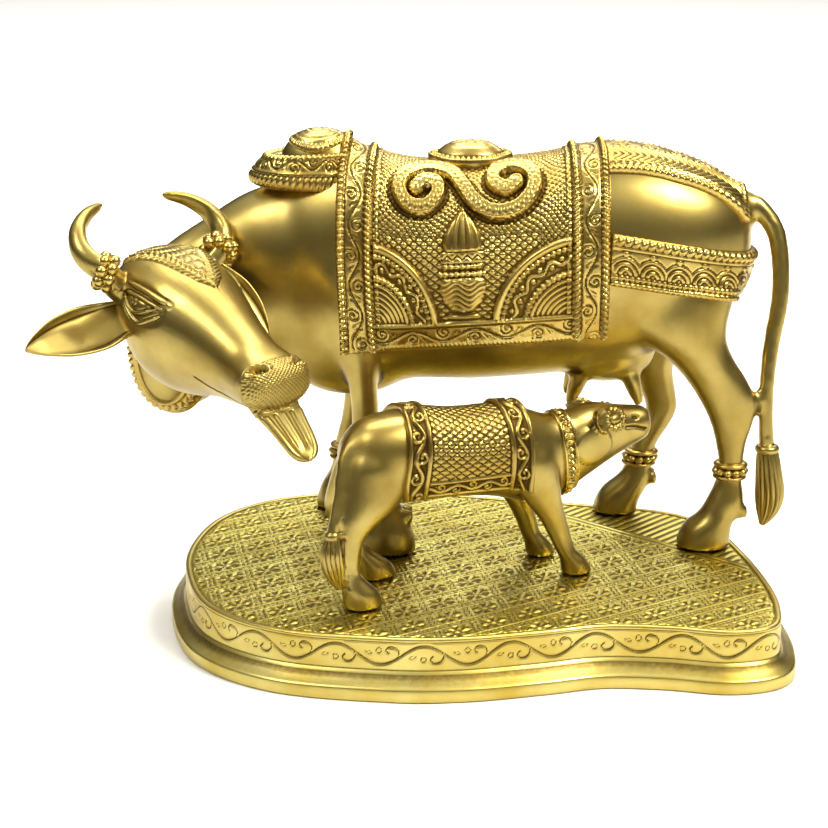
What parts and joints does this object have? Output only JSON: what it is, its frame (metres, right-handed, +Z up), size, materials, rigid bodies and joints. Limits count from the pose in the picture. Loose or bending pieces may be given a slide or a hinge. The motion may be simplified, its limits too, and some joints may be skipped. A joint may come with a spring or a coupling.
{
  "type": "cow and calf statue",
  "caption": "Brass figure group of a cow in a saddle cloth turning her head to a nursing calf, on a low stepped plinth with a waisted outline.",
  "frame": {"origin": "middle of the flat underside of the plinth", "axes": "+X to the viewer's right along the plinth, +Y away from the viewer, +Z up"},
  "size_m": [0.3366, 0.2116, 0.2205],
  "materials": {
    "base_brass": "chased and lacquered, bright on the ridges and dull in the hollows",
    "cow_brass": "polished skin, chased cloth",
    "calf_brass": "polished skin, chased cloth"
  },
  "bodies": {
    "root": {"base": "base_brass", "cow": "cow_brass", "calf": "calf_brass"}
  },
  "joints": []
}
